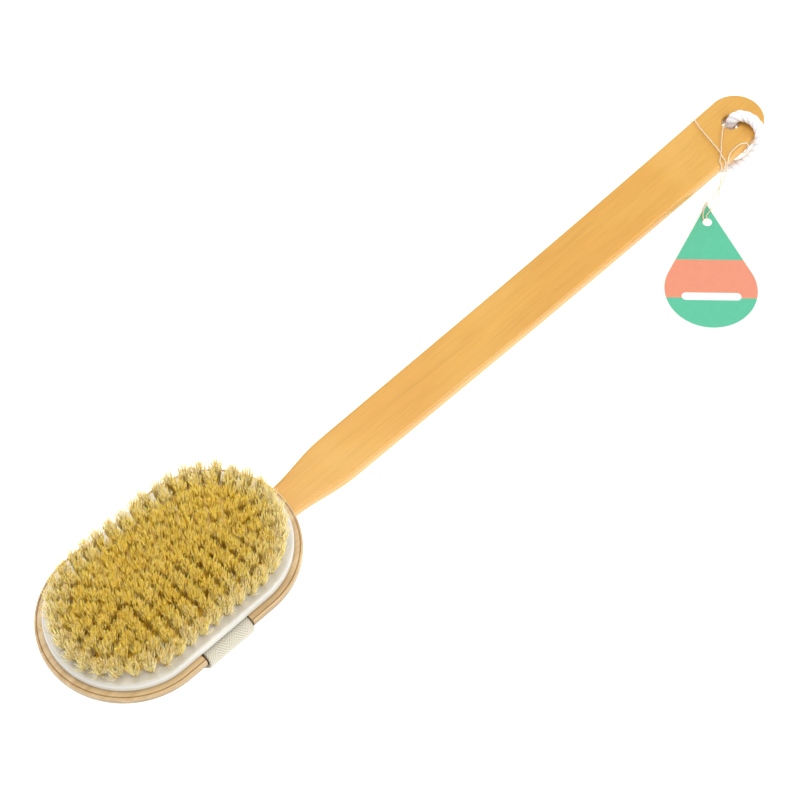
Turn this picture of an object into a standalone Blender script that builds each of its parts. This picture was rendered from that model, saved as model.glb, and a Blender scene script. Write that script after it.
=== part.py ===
"""Long-handled dry body brush with a pull-off handle, lying on its back with the bristles up.

Metres, +Z up, +X along the brush from the head to the hanging hole. The origin is on the
surface the brush lies on, under the middle of its length.
"""
import math

import bmesh
import bpy
from mathutils import Vector

# ---- driving dimensions ----
TOTAL_LENGTH = 0.418
HEAD_LENGTH = 0.120
HEAD_WIDTH = 0.075
HEAD_BOTTOM_Z = 0.0020
HEAD_TOP_Z = 0.0240
LEDGE = 0.0035              # wood left showing around the bristle plate
GAP = 0.0003                # clearance between pieces that touch

PLATE_HEIGHT = 0.0040
PLATE_EDGE_ROUND = 0.0014

TUFT_LENGTH = 0.0134
TUFT_WIDTH = 0.0030
TUFT_SPACING = 0.0065
TUFT_RING_COUNT = 6
TUFT_RING_STEP = 0.00535
TUFT_EDGE_MARGIN = 0.0054   # plate edge to the roots of the outer ring, along the sides
TUFT_END_MARGIN = 0.0053    # the same at the round ends
TUFT_WEB = 0.0008           # thin layer that joins the roots of one ring
TUFT_LEAN = 0.0005          # how far the tips of the outer ring lean out

HANDLE_THICKNESS = 0.0060
HANDLE_TOP_Z = 0.0144       # at the head, before the bar starts to curve up
HANDLE_NECK_WIDTH = 0.0152
HANDLE_GRIP_WIDTH = 0.0224
HANDLE_TIP_WIDTH = 0.0264
HANDLE_EDGE_ROUND = 0.0014
HANDLE_TIP_RISE = 0.0048    # how far the tip curves up
CURVE_START = 0.180         # from the middle of the head, like the next three
TONGUE_START = 0.015
NECK_START = 0.061
NECK_END = 0.094
HOLE_TO_TIP = 0.0167
HOLE_DIAMETER = 0.0080

STRAP_WIDTH = 0.0238
STRAP_THICKNESS = 0.0015
STRAP_OFFSET = -0.0006      # the strap sits a little towards the free end of the head
NOTCH_WIDTH = 0.0254
NOTCH_OFFSET = -0.0011
REBATE_DEPTH = 0.0024       # pocket in the top of the wood for each strap end
REBATE_INNER_Y = 0.0205
NOTCH_INNER_Y = 0.0345      # where the pocket deepens so that the strap can turn down the side
NOTCH_Z = 0.0180

TACK_SHANK_DIAMETER = 0.0014
TACK_HEAD_DIAMETER = 0.0044
TACK_HEAD_THICKNESS = 0.0004
TACK_LENGTH = 0.0070
TACK_SPACING = 0.0120
TACK_Y = 0.0250

NAIL_SHANK_DIAMETER = 0.0016
NAIL_HEAD_DIAMETER = 0.0032
NAIL_HEAD_THICKNESS = 0.0008
NAIL_LENGTH = 0.0130
NAIL_Y = 0.0216

ROPE_DIAMETER = 0.0052
THREAD_DIAMETER = 0.0006
KNOT_RADIUS = 0.0062
KNOT_HEIGHT = 0.0077

TAG_LENGTH = 0.0704
TAG_RADIUS = 0.0215
TAG_THICKNESS = 0.0004
TAG_HOLE_DIAMETER = 0.0040
TAG_HOLE_TO_TIP = 0.0120
TAG_HEADING = math.radians(224.3)
TAG_LIFT = 0.0002           # underside of the tag above the surface

# ---- worked out from them ----
HEAD_X = -TOTAL_LENGTH / 2 + HEAD_LENGTH / 2
TIP_X = TOTAL_LENGTH / 2
HEAD_RADIUS = HEAD_WIDTH / 2
HALF_STRAIGHT = HEAD_LENGTH / 2 - HEAD_RADIUS
PLATE_BOTTOM_Z = HEAD_TOP_Z + GAP
PLATE_TOP_Z = PLATE_BOTTOM_Z + PLATE_HEIGHT
PLATE_RADIUS = HEAD_RADIUS - LEDGE
TUFT_HALF_STRAIGHT = HALF_STRAIGHT - (TUFT_END_MARGIN - TUFT_EDGE_MARGIN)
TUFT_BOTTOM_Z = PLATE_TOP_Z + GAP
HANDLE_BOTTOM_Z = HANDLE_TOP_Z - HANDLE_THICKNESS
HOLE_X = TIP_X - HOLE_TO_TIP
REBATE_Z = HEAD_TOP_Z - REBATE_DEPTH
STRAP_END_Z = REBATE_Z + GAP + STRAP_THICKNESS / 2
STRAP_X = HEAD_X + STRAP_OFFSET
TAG_TIP = Vector((HEAD_X + 0.3113, -0.0142))
CUT = 0.0010                # how far a cutter runs past the face it opens


# ---- helpers ----
def clear_scene():
    for obj in list(bpy.data.objects):
        bpy.data.objects.remove(obj, do_unlink=True)


def material(name, color, roughness, metallic=0.0):
    mat = bpy.data.materials.new(name)
    mat.use_nodes = True
    shader = mat.node_tree.nodes["Principled BSDF"]
    shader.inputs["Base Color"].default_value = (*color, 1.0)
    shader.inputs["Roughness"].default_value = roughness
    shader.inputs["Metallic"].default_value = metallic
    return mat


def add_object(name, mesh_or_curve, mat):
    obj = bpy.data.objects.new(name, mesh_or_curve)
    bpy.context.scene.collection.objects.link(obj)
    if mat:
        mesh_or_curve.materials.append(mat)
    return obj


def finish_mesh(name, bm, mat, smooth_degrees=35):
    """Close a bmesh off as an object with outward faces and smooth shading on its round parts."""
    bmesh.ops.recalc_face_normals(bm, faces=bm.faces)
    mesh = bpy.data.meshes.new(name)
    bm.to_mesh(mesh)
    bm.free()
    mesh.shade_smooth()
    mesh.set_sharp_from_angle(angle=math.radians(smooth_degrees))
    return add_object(name, mesh, mat)


def stadium(half_straight, radius, arc_steps):
    """Outline of an oval with straight sides, anticlockwise, around (0, 0)."""
    points = []
    for end in (0, 1):
        centre_x = half_straight if end == 0 else -half_straight
        for step in range(arc_steps + 1):
            angle = math.pi * (end + step / arc_steps - 0.5)
            points.append(Vector((centre_x + radius * math.cos(angle), radius * math.sin(angle))))
    return points


def loft(bm, rings):
    """Skin a list of closed rings of equal length and cap both ends."""
    loops = [[bm.verts.new(point) for point in ring] for ring in rings]
    count = len(loops[0])
    for low, high in zip(loops, loops[1:]):
        for i in range(count):
            j = (i + 1) % count
            bm.faces.new((low[i], low[j], high[j], high[i]))
    bm.faces.new(reversed(loops[0]))
    bm.faces.new(loops[-1])


def add_box(bm, low, high):
    corners = [Vector((x, y, z)) for z in (low[2], high[2])
               for x, y in ((low[0], low[1]), (high[0], low[1]), (high[0], high[1]), (low[0], high[1]))]
    loft(bm, (corners[:4], corners[4:]))


def add_turned(bm, centre, profile, steps):
    """Turn (radius, z) pairs, bottom to top, around a vertical axis through centre."""
    rings = []
    for radius, z in profile:
        ring = [Vector((centre[0] + radius * math.cos(2 * math.pi * i / steps),
                        centre[1] + radius * math.sin(2 * math.pi * i / steps), z)) for i in range(steps)]
        rings.append(ring)
    loft(bm, rings)


def cut(target, name, bm):
    """Subtract the closed bodies in bm from target."""
    cutter = finish_mesh(name, bm, None)
    cutter.hide_render = True
    cutter.display_type = "WIRE"
    boolean = target.modifiers.new(name, "BOOLEAN")
    boolean.operation = "DIFFERENCE"
    boolean.solver = "EXACT"
    boolean.object = cutter


def smooth_path(knots, spacing):
    """Points about spacing apart on a Catmull-Rom curve through knots."""
    knots = [Vector(knot) for knot in knots]
    ends = [2 * knots[0] - knots[1]] + knots + [2 * knots[-1] - knots[-2]]
    points = [knots[0]]
    for a, b, c, d in zip(ends, ends[1:], ends[2:], ends[3:]):
        steps = max(1, round((c - b).length / spacing))
        for step in range(1, steps + 1):
            t = step / steps
            points.append(0.5 * (2 * b + (c - a) * t + (2 * a - 5 * b + 4 * c - d) * t ** 2
                                 + (3 * b - a - 3 * c + d) * t ** 3))
    return points


def add_cord(name, knots, diameter, spacing, mat):
    curve = bpy.data.curves.new(name, "CURVE")
    curve.dimensions = "3D"
    curve.bevel_depth = diameter / 2
    curve.bevel_resolution = 2
    curve.use_fill_caps = True
    points = smooth_path(knots, spacing)
    spline = curve.splines.new("POLY")
    spline.points.add(len(points) - 1)
    for target, point in zip(spline.points, points):
        target.co = (*point, 1.0)
    return add_object(name, curve, mat)


# ---- head ----
def head_section():
    """(inset, z) down the side of the wood: a thin groove round the top, then the bowl-shaped back."""
    section = [(0.0014, HEAD_TOP_Z), (0.0011, HEAD_TOP_Z - 0.0003), (0.0008, HEAD_TOP_Z - 0.0001)]
    section += [(0.0003, HEAD_TOP_Z - 0.0004), (0.0, HEAD_TOP_Z - 0.0012)]
    bowl_top = HEAD_TOP_Z - 0.0032
    steps = 9
    for step in range(steps + 1):
        depth = (bowl_top - HEAD_BOTTOM_Z) * step / steps
        section.append((0.45 * depth + 35.0 * depth ** 2, bowl_top - depth))
    section[-1] = (section[-1][0] + 0.0004, section[-1][1])
    return section


def head_base(mat):
    bm = bmesh.new()
    rings = []
    for inset, z in reversed(head_section()):
        outline = stadium(HALF_STRAIGHT, HEAD_RADIUS - inset, 20)
        rings.append([Vector((HEAD_X + p.x, p.y, z)) for p in outline])
    loft(bm, rings)
    base = finish_mesh("head_base", bm, mat, 25)

    socket = bmesh.new()
    side = HANDLE_NECK_WIDTH / 2 + GAP
    add_box(socket, (HEAD_X + TONGUE_START - GAP, -side, HANDLE_BOTTOM_Z - GAP),
            (HEAD_X + HEAD_LENGTH, side, HANDLE_TOP_Z + GAP))
    cut(base, "handle_socket_cutter", socket)

    pockets = bmesh.new()
    notches = bmesh.new()
    for sign in (-1, 1):
        notch_x = HEAD_X + NOTCH_OFFSET
        half_width = NOTCH_WIDTH / 2
        for inner_y, floor_z, bm in ((REBATE_INNER_Y, REBATE_Z, pockets), (NOTCH_INNER_Y, NOTCH_Z, notches)):
            sides = sorted((sign * inner_y, sign * (HEAD_RADIUS + CUT)))
            add_box(bm, (notch_x - half_width, sides[0], floor_z),
                    (notch_x + half_width, sides[1], HEAD_TOP_Z + CUT))
    cut(base, "strap_pocket_cutter", pockets)
    cut(base, "strap_notch_cutter", notches)

    holes = bmesh.new()
    for x, y in nail_places():
        radius = NAIL_SHANK_DIAMETER / 2 + GAP
        bottom = PLATE_TOP_Z - NAIL_LENGTH - CUT
        add_turned(holes, (x, y), ((radius, bottom), (radius, HEAD_TOP_Z + CUT)), 12)
    for x, y in tack_places():
        radius = TACK_SHANK_DIAMETER / 2 + GAP
        bottom = STRAP_END_Z - TACK_LENGTH - CUT
        add_turned(holes, (x, y), ((radius, bottom), (radius, REBATE_Z + CUT)), 12)
    cut(base, "fastener_hole_cutter", holes)


def bristle_plate(mat):
    edge = PLATE_EDGE_ROUND
    section = [(0.0, PLATE_BOTTOM_Z), (0.0, PLATE_TOP_Z - edge)]
    for step in range(1, 4):
        angle = math.pi / 2 * step / 3
        section.append((edge * (1 - math.cos(angle)), PLATE_TOP_Z - edge * (1 - math.sin(angle))))
    bm = bmesh.new()
    loft(bm, [[Vector((HEAD_X + p.x, p.y, z)) for p in stadium(HALF_STRAIGHT, PLATE_RADIUS - inset, 20)]
              for inset, z in section])
    plate = finish_mesh("bristle_plate", bm, mat)
    holes = bmesh.new()
    shank = NAIL_SHANK_DIAMETER / 2 + GAP
    head = NAIL_HEAD_DIAMETER / 2 + GAP
    seat = PLATE_TOP_Z - NAIL_HEAD_THICKNESS - 2 * GAP
    for place in nail_places():
        profile = ((shank, PLATE_BOTTOM_Z - CUT), (shank, seat), (head, seat), (head, PLATE_TOP_Z + CUT))
        add_turned(holes, place, profile, 12)
    cut(plate, "plate_hole_cutter", holes)


def nail_places():
    return [(HEAD_X + sx * HALF_STRAIGHT, sy * NAIL_Y) for sx in (-1, 1) for sy in (-1, 1)]


def plate_nails(mat):
    shank = NAIL_SHANK_DIAMETER / 2
    head = NAIL_HEAD_DIAMETER / 2
    top = PLATE_TOP_Z - GAP
    point = PLATE_TOP_Z - NAIL_LENGTH
    for number, place in enumerate(nail_places(), 1):
        bm = bmesh.new()
        profile = ((shank * 0.3, point), (shank, point + 0.0015), (shank, top - NAIL_HEAD_THICKNESS),
                   (head, top - NAIL_HEAD_THICKNESS), (head, top - 0.0002), (head * 0.85, top))
        add_turned(bm, place, profile, 12)
        finish_mesh("plate_nail_%d" % number, bm, mat)


def tuft_ring(number, mat):
    """One oval ring of tufts, joined at their roots by a thin web."""
    index = number - 1
    radius = PLATE_RADIUS - TUFT_EDGE_MARGIN - index * TUFT_RING_STEP
    lean = TUFT_LEAN * (1 - index / TUFT_RING_COUNT) ** 2
    straight = 2 * TUFT_HALF_STRAIGHT
    length = 2 * math.pi * radius + 2 * straight
    tufts = round(length / TUFT_SPACING)
    cells = 2 * tufts
    half = TUFT_WIDTH / 2

    def place(distance, offset):
        """Point at a distance along the ring's centre line, moved outwards by offset."""
        distance = distance % length
        arc = math.pi * radius
        for end in (1, -1):
            if distance < straight:
                return Vector((end * (distance - TUFT_HALF_STRAIGHT), -end * (radius + offset)))
            distance -= straight
            if distance < arc:
                angle = distance / radius - math.pi / 2
                reach = radius + offset
                along = TUFT_HALF_STRAIGHT + reach * math.cos(angle)
                return Vector((end * along, end * reach * math.sin(angle)))
            distance -= arc
        return Vector((-TUFT_HALF_STRAIGHT, -radius - offset))

    bm = bmesh.new()
    levels = (TUFT_BOTTOM_Z, TUFT_BOTTOM_Z + TUFT_WEB)
    corners = [[[bm.verts.new((*(place(i * length / cells, offset) + Vector((HEAD_X, 0))), z))
                 for z in levels] for offset in (-half, half)] for i in range(cells)]
    top_z = TUFT_BOTTOM_Z + TUFT_LENGTH
    for i in range(cells):
        inner, outer = corners[i]
        next_inner, next_outer = corners[(i + 1) % cells]
        bm.faces.new((inner[0], next_inner[0], next_outer[0], outer[0]))
        bm.faces.new((outer[0], next_outer[0], next_outer[1], outer[1]))
        bm.faces.new((next_inner[0], inner[0], inner[1], next_inner[1]))
        roots = (inner[1], outer[1], next_outer[1], next_inner[1])
        if i % 2:
            bm.faces.new(roots)
            continue
        a, b = i * length / cells, (i + 1) * length / cells
        tips = [bm.verts.new((*(place(s, offset + lean) + Vector((HEAD_X, 0))), top_z))
                for s, offset in ((a, -half), (a, half), (b, half), (b, -half))]
        for k in range(4):
            n = (k + 1) % 4
            bm.faces.new((roots[k], roots[n], tips[n], tips[k]))
        bm.faces.new(tips)
    finish_mesh("tuft_ring_%d" % number, bm, mat, 20)


def hand_strap(mat):
    """Webbing clamped under the plate at both ends, round the sides and under the back."""
    side = [(REBATE_INNER_Y + 0.0010, STRAP_END_Z), (0.0290, STRAP_END_Z), (0.0345, STRAP_END_Z - 0.0001),
            (0.0365, 0.0213), (0.0373, 0.0193), (0.0370, 0.0168), (0.0354, 0.0138), (0.0326, 0.0102),
            (0.0288, 0.0064), (0.0243, 0.0031), (0.0200, 0.0012), (0.0160, 0.00075), (0.0080, 0.00075)]
    route = [(0.0, y, z) for y, z in side] + [(0.0, 0.0, 0.00075)]
    route += [(0.0, -y, z) for y, z in reversed(side)]
    line = smooth_path(route, 0.0025)
    bm = bmesh.new()
    rings = []
    for i, point in enumerate(line):
        ahead = line[min(i + 1, len(line) - 1)] - line[max(i - 1, 0)]
        across = Vector((0.0, -ahead.z, ahead.y)).normalized() * (STRAP_THICKNESS / 2)
        wide = Vector((STRAP_WIDTH / 2, 0.0, 0.0))
        centre = Vector((STRAP_X, point.y, point.z))
        rings.append([centre - wide - across, centre + wide - across, centre + wide + across,
                      centre - wide + across])
    loft(bm, rings)
    strap = finish_mesh("hand_strap", bm, mat, 50)
    holes = bmesh.new()
    for place in tack_places():
        radius = TACK_SHANK_DIAMETER / 2 + GAP
        add_turned(holes, place, ((radius, STRAP_END_Z - 0.0020), (radius, STRAP_END_Z + 0.0020)), 12)
    cut(strap, "strap_hole_cutter", holes)


def tack_places():
    return [(STRAP_X + sx * TACK_SPACING / 2, sy * TACK_Y) for sx in (-1, 1) for sy in (-1, 1)]


def strap_tacks(mat):
    shank = TACK_SHANK_DIAMETER / 2
    head = TACK_HEAD_DIAMETER / 2
    under = STRAP_END_Z + STRAP_THICKNESS / 2 + GAP / 2
    point = STRAP_END_Z - TACK_LENGTH
    for number, place in enumerate(tack_places(), 1):
        bm = bmesh.new()
        profile = ((shank * 0.3, point), (shank, point + 0.0015), (shank, under), (head, under),
                   (head * 0.9, under + TACK_HEAD_THICKNESS))
        add_turned(bm, place, profile, 12)
        finish_mesh("strap_tack_%d" % number, bm, mat)


# ---- handle ----
def handle_rise(x):
    """How far the bar has curved up at x."""
    share = max(0.0, (x - HEAD_X - CURVE_START) / (TIP_X - HEAD_X - CURVE_START))
    return HANDLE_TIP_RISE * share ** 2


def handle_side():
    """Plan of one side of the handle, from the tongue by the neck and the flared grip to the round tip."""
    neck = HANDLE_NECK_WIDTH / 2
    grip = HANDLE_GRIP_WIDTH / 2
    tip = HANDLE_TIP_WIDTH / 2
    side = [Vector((HEAD_X + TONGUE_START, 0.7 * neck)), Vector((HEAD_X + TONGUE_START + 0.002, neck))]
    steps = 10
    for step in range(steps + 1):
        t = step / steps
        x = HEAD_X + NECK_START + (NECK_END - NECK_START) * t
        side.append(Vector((x, neck + (grip - neck) * (1 - math.cos(math.pi * t)) / 2)))
    grip_x = HEAD_X + NECK_END
    centre_x = TIP_X - tip
    steps = 14
    for step in range(1, steps):
        t = step / steps
        side.append(Vector((grip_x + (centre_x - grip_x) * t, grip + (tip - grip) * t)))
    steps = 12
    for step in range(steps):
        angle = math.pi / 2 * (1 - step / steps)
        side.append(Vector((centre_x + tip * math.cos(angle), tip * math.sin(angle))))
    return side


def handle(mat):
    side = handle_side()
    outline = [Vector((p.x, -p.y)) for p in side] + [Vector((TIP_X, 0.0))] + list(reversed(side))
    count = len(outline)
    inward = []
    for i, point in enumerate(outline):
        ahead = (outline[(i + 1) % count] - point).normalized() + (point - outline[i - 1]).normalized()
        inward.append(Vector((-ahead.y, ahead.x)).normalized())
    edge = HANDLE_EDGE_ROUND
    steps = 3
    rounding = []
    for step in range(steps + 1):
        angle = math.pi / 2 * step / steps
        rounding.append((edge * (1 - math.sin(angle)), edge * (1 - math.cos(angle))))
    section = [(inset, HANDLE_BOTTOM_Z + height) for inset, height in rounding]
    section += [(inset, HANDLE_TOP_Z - height) for inset, height in reversed(rounding)]
    bm = bmesh.new()
    loops = []
    for inset, z in section:
        plan = [point + normal * inset for point, normal in zip(outline, inward)]
        loops.append([bm.verts.new((p.x, p.y, z + handle_rise(p.x))) for p in plan])
    for low, high in zip(loops, loops[1:]):
        for i in range(count):
            j = (i + 1) % count
            bm.faces.new((low[i], low[j], high[j], high[i]))
    last = count - 1
    for loop in (loops[0], loops[-1]):
        for i in range(len(side) - 1):
            bm.faces.new((loop[i], loop[i + 1], loop[last - i - 1], loop[last - i]))
        bm.faces.new((loop[len(side) - 1], loop[len(side)], loop[len(side) + 1]))
    body = finish_mesh("handle", bm, mat, 30)
    hole = bmesh.new()
    radius = HOLE_DIAMETER / 2
    flare = 0.0005
    bottom = HANDLE_BOTTOM_Z + handle_rise(HOLE_X)
    top = HANDLE_TOP_Z + handle_rise(HOLE_X)
    add_turned(hole, (HOLE_X, 0.0), ((radius + 2 * flare, bottom - flare), (radius, bottom + flare),
                                     (radius, top - flare), (radius + 2 * flare, top + flare)), 32)
    cut(body, "hanging_hole_cutter", hole)


# ---- hanging cord, thread and tag ----
def hanging_cord(mat):
    """Up through the hole, over the near edge of the tip and back under the handle to the knot."""
    x = HOLE_X
    route = [(x + 0.0008, 0.0002, 0.0081), (x + 0.0008, 0.0003, 0.0120), (x + 0.0009, 0.0003, 0.0162),
             (x + 0.0016, -0.0002, 0.0194), (x + 0.0031, -0.0019, 0.0215), (x + 0.0047, -0.0050, 0.0221),
             (x + 0.0051, -0.0095, 0.0222), (x + 0.0034, -0.0143, 0.0209), (x + 0.0009, -0.0166, 0.0168),
             (x - 0.0025, -0.0168, 0.0122), (x - 0.0064, -0.0152, 0.0084), (x - 0.0104, -0.0118, 0.0058),
             (x - 0.0132, -0.0084, 0.0042), (x - 0.0134, -0.0048, 0.0034), (x - 0.0108, -0.0024, 0.0034),
             (x - 0.0078, -0.0016, 0.0036)]
    add_cord("hanging_cord", route, ROPE_DIAMETER, 0.0026, mat)


def hanging_cord_knot(mat):
    """Outer shape of the flattened knot that lies between the handle and the surface."""
    bm = bmesh.new()
    profile = []
    steps = 6
    for step in range(steps + 1):
        angle = math.pi * (0.08 + 0.84 * step / steps) - math.pi / 2
        profile.append((KNOT_RADIUS * math.cos(angle), KNOT_HEIGHT / 2 * (1 + math.sin(angle) / 0.969)))
    add_turned(bm, (HOLE_X - 0.0002, 0.0004), profile, 20)
    finish_mesh("hanging_cord_knot", bm, mat)


def tag_point(along, across, z):
    """Point on the tag, measured from its tip along its length and across it."""
    ahead = Vector((math.cos(TAG_HEADING), math.sin(TAG_HEADING)))
    side = Vector((-ahead.y, ahead.x))
    flat = TAG_TIP + ahead * along + side * across
    return Vector((flat.x, flat.y, z))


def swing_tag(mat):
    """Drop-shaped card: a circle with two straight sides that meet at the tip."""
    centre = TAG_LENGTH - TAG_RADIUS
    tangent = math.acos(TAG_RADIUS / centre)
    outline = [(0.0, 0.0)]
    steps = 36
    for step in range(steps + 1):
        angle = math.pi - tangent - (2 * math.pi - 2 * tangent) * step / steps
        outline.append((centre + TAG_RADIUS * math.cos(angle), TAG_RADIUS * math.sin(angle)))
    bm = bmesh.new()
    loft(bm, [[tag_point(along, across, z) for along, across in outline]
              for z in (TAG_LIFT, TAG_LIFT + TAG_THICKNESS)])
    tag = finish_mesh("swing_tag", bm, mat)
    hole = bmesh.new()
    middle = tag_point(TAG_HOLE_TO_TIP, 0.0, 0.0)
    radius = TAG_HOLE_DIAMETER / 2
    add_turned(hole, middle, ((radius, TAG_LIFT - CUT), (radius, TAG_LIFT + TAG_THICKNESS + CUT)), 20)
    cut(tag, "tag_hole_cutter", hole)


def tag_thread(mat):
    """Out of the hanging hole, down to the tag, back up and once round the handle."""
    def over(x, y, lift=0.0007):
        return (HEAD_X + x, y, HANDLE_TOP_Z + handle_rise(HEAD_X + x) + lift)

    def under(x, y):
        return (HEAD_X + x, y, HANDLE_BOTTOM_Z + handle_rise(HEAD_X + x) - 0.0008)

    x = HEAD_X
    eye = tag_point(TAG_HOLE_TO_TIP, 0.0, 0.0)
    route = [(HOLE_X - 0.0032, 0.0008, 0.0140), (HOLE_X - 0.0032, 0.0008, 0.0184),
             over(0.3361, -0.0002, 0.0009), over(0.3310, -0.0038), over(0.3250, -0.0088), over(0.3209, -0.0117),
             (x + 0.3204, -0.0131, 0.0173), (x + 0.3197, -0.0142, 0.0130), (x + 0.3165, -0.0168, 0.0036),
             (x + 0.3115, -0.0188, 0.0011), (eye.x + 0.0022, eye.y + 0.0024, 0.0012),
             (eye.x - 0.0002, eye.y - 0.0002, 0.0013), (eye.x - 0.0004, eye.y + 0.0022, 0.0011),
             (x + 0.3080, -0.0165, 0.0013), (x + 0.3160, -0.0158, 0.0042), (x + 0.3222, -0.0150, 0.0105),
             (x + 0.3240, -0.0139, 0.0160), over(0.3262, -0.0124, 0.0006), over(0.3300, -0.0116),
             over(0.3345, -0.0118), (x + 0.3374, -0.0131, 0.0181), (x + 0.3379, -0.0139, 0.0158),
             (x + 0.3376, -0.0136, 0.0125), (x + 0.3370, -0.0124, 0.0111), under(0.3355, -0.0070),
             under(0.3318, 0.0105), (x + 0.3315, 0.0131, 0.0115), (x + 0.3310, 0.0140, 0.0145),
             (x + 0.3306, 0.0134, 0.0178), over(0.3302, 0.0117, 0.0010), over(0.3282, 0.0060, 0.0012),
             over(0.3252, -0.0060, 0.0016), over(0.3234, -0.0112, 0.0012), (x + 0.3230, -0.0131, 0.0176),
             (x + 0.3226, -0.0139, 0.0150), (x + 0.3224, -0.0136, 0.0119), (x + 0.3223, -0.0122, 0.0104),
             under(0.3225, -0.0085)]
    add_cord("tag_thread", route, THREAD_DIAMETER, 0.0022, mat)


def build():
    clear_scene()
    tan_wood = material("tan_wood", (0.60, 0.40, 0.20), 0.45)
    honey_wood = material("honey_wood", (0.86, 0.46, 0.11), 0.30)
    white_plastic = material("white_plastic", (0.74, 0.78, 0.77), 0.18)
    bristle = material("bristle", (0.62, 0.42, 0.12), 0.55)
    cotton = material("cotton_webbing", (0.74, 0.71, 0.58), 0.85)
    steel = material("steel", (0.62, 0.62, 0.60), 0.35, 1.0)
    rope = material("cotton_rope", (0.86, 0.86, 0.88), 0.80)
    nylon = material("clear_nylon", (0.85, 0.86, 0.84), 0.20)
    card = material("printed_card", (0.16, 0.66, 0.40), 0.35)
    head_base(tan_wood)
    bristle_plate(white_plastic)
    plate_nails(steel)
    for number in range(1, TUFT_RING_COUNT + 1):
        tuft_ring(number, bristle)
    hand_strap(cotton)
    strap_tacks(steel)
    handle(honey_wood)
    hanging_cord(rope)
    hanging_cord_knot(rope)
    tag_thread(nylon)
    swing_tag(card)


build()
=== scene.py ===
import math

import bmesh
import bpy
import numpy as np
from mathutils import Matrix, Vector


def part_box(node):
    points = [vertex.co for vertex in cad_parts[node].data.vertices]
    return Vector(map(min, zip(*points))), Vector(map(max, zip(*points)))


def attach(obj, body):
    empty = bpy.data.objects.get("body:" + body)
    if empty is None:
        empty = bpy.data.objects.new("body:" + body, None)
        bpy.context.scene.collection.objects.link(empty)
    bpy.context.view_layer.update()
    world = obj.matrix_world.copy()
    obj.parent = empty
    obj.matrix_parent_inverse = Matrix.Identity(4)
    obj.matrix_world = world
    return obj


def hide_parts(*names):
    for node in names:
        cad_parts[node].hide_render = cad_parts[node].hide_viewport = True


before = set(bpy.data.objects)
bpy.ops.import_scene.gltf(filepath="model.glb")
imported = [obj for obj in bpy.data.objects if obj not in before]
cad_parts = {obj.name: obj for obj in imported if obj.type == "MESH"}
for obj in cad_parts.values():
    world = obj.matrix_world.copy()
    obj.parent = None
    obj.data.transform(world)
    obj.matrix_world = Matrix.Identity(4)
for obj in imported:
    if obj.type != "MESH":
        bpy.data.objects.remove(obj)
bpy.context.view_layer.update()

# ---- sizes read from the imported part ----
head_low, head_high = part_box("head_base")
plate_low, plate_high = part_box("bristle_plate")
handle_low, handle_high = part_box("handle")
strap_low, strap_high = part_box("hand_strap")
tuft_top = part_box("tuft_ring_1")[1].z
HEAD_X = (head_low.x + head_high.x) / 2
HEAD_TOP_Z = head_high.z
HEAD_RADIUS = head_high.y
HALF_STRAIGHT = (head_high.x - head_low.x) / 2 - HEAD_RADIUS
PLATE_RADIUS = plate_high.y
PLATE_TOP_Z = plate_high.z
STRAP_X = (strap_low.x + strap_high.x) / 2
STRAP_WIDTH = strap_high.x - strap_low.x
HANDLE_BOTTOM_Z = handle_low.z
TIP_X = handle_high.x

# ---- sizes of the detailed pieces, as in the part ----
GAP = 0.0003                # clearance between pieces that touch
CUT = 0.0010                # how far a cutter runs past the face it opens
GROOVE_INSET = 0.0011       # from the edge of the head to the thin groove round its top
NOTCH_X = HEAD_X - 0.0011
NOTCH_WIDTH = 0.0254
REBATE_DEPTH = 0.0024       # pocket in the top of the wood for each strap end
REBATE_INNER_Y = 0.0205
NOTCH_INNER_Y = 0.0345      # where the pocket deepens so that the strap can turn down the side
NOTCH_Z = 0.0180
NAIL_Y = 0.0216
TACK_Y = 0.0250
TACK_SPACING = 0.0120
STRAP_THICKNESS = 0.0015
STRAP_END_Z = HEAD_TOP_Z - REBATE_DEPTH + GAP + STRAP_THICKNESS / 2

TUFT_RING_COUNT = 6
TUFT_SPACING = 0.0065
TUFT_RING_STEP = 0.00535
TUFT_EDGE_MARGIN = 0.0054   # plate edge to the roots of the outer ring, along the sides
TUFT_END_MARGIN = 0.0053    # the same at the round ends

HANDLE_THICKNESS = 0.0060
HANDLE_TOP_Z = HANDLE_BOTTOM_Z + HANDLE_THICKNESS
HANDLE_EDGE_ROUND = 0.0014
NECK_HALF_WIDTH = 0.0076
GRIP_HALF_WIDTH = 0.0112
TIP_RADIUS = handle_high.y
TONGUE_START_X = HEAD_X + 0.015
NECK_START_X = HEAD_X + 0.061
NECK_END_X = HEAD_X + 0.094
CURVE_START_X = HEAD_X + 0.180
HOLE_X = TIP_X - 0.0167
HOLE_RADIUS = 0.0040

ROPE_DIAMETER = 0.0052
ROPE_PITCH = 0.0105         # length in which a strand goes once round the rope
ROPE_SIDES = 36
THREAD_DIAMETER = 0.0006
TAG_TIP = Vector((HEAD_X + 0.3113, -0.0142))
TAG_HEADING = math.radians(224.3)
TAG_AHEAD = Vector((math.cos(TAG_HEADING), math.sin(TAG_HEADING)))
TAG_LENGTH = 0.0704
TAG_RADIUS = 0.0215
TAG_HOLE_TO_TIP = 0.0120


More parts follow.
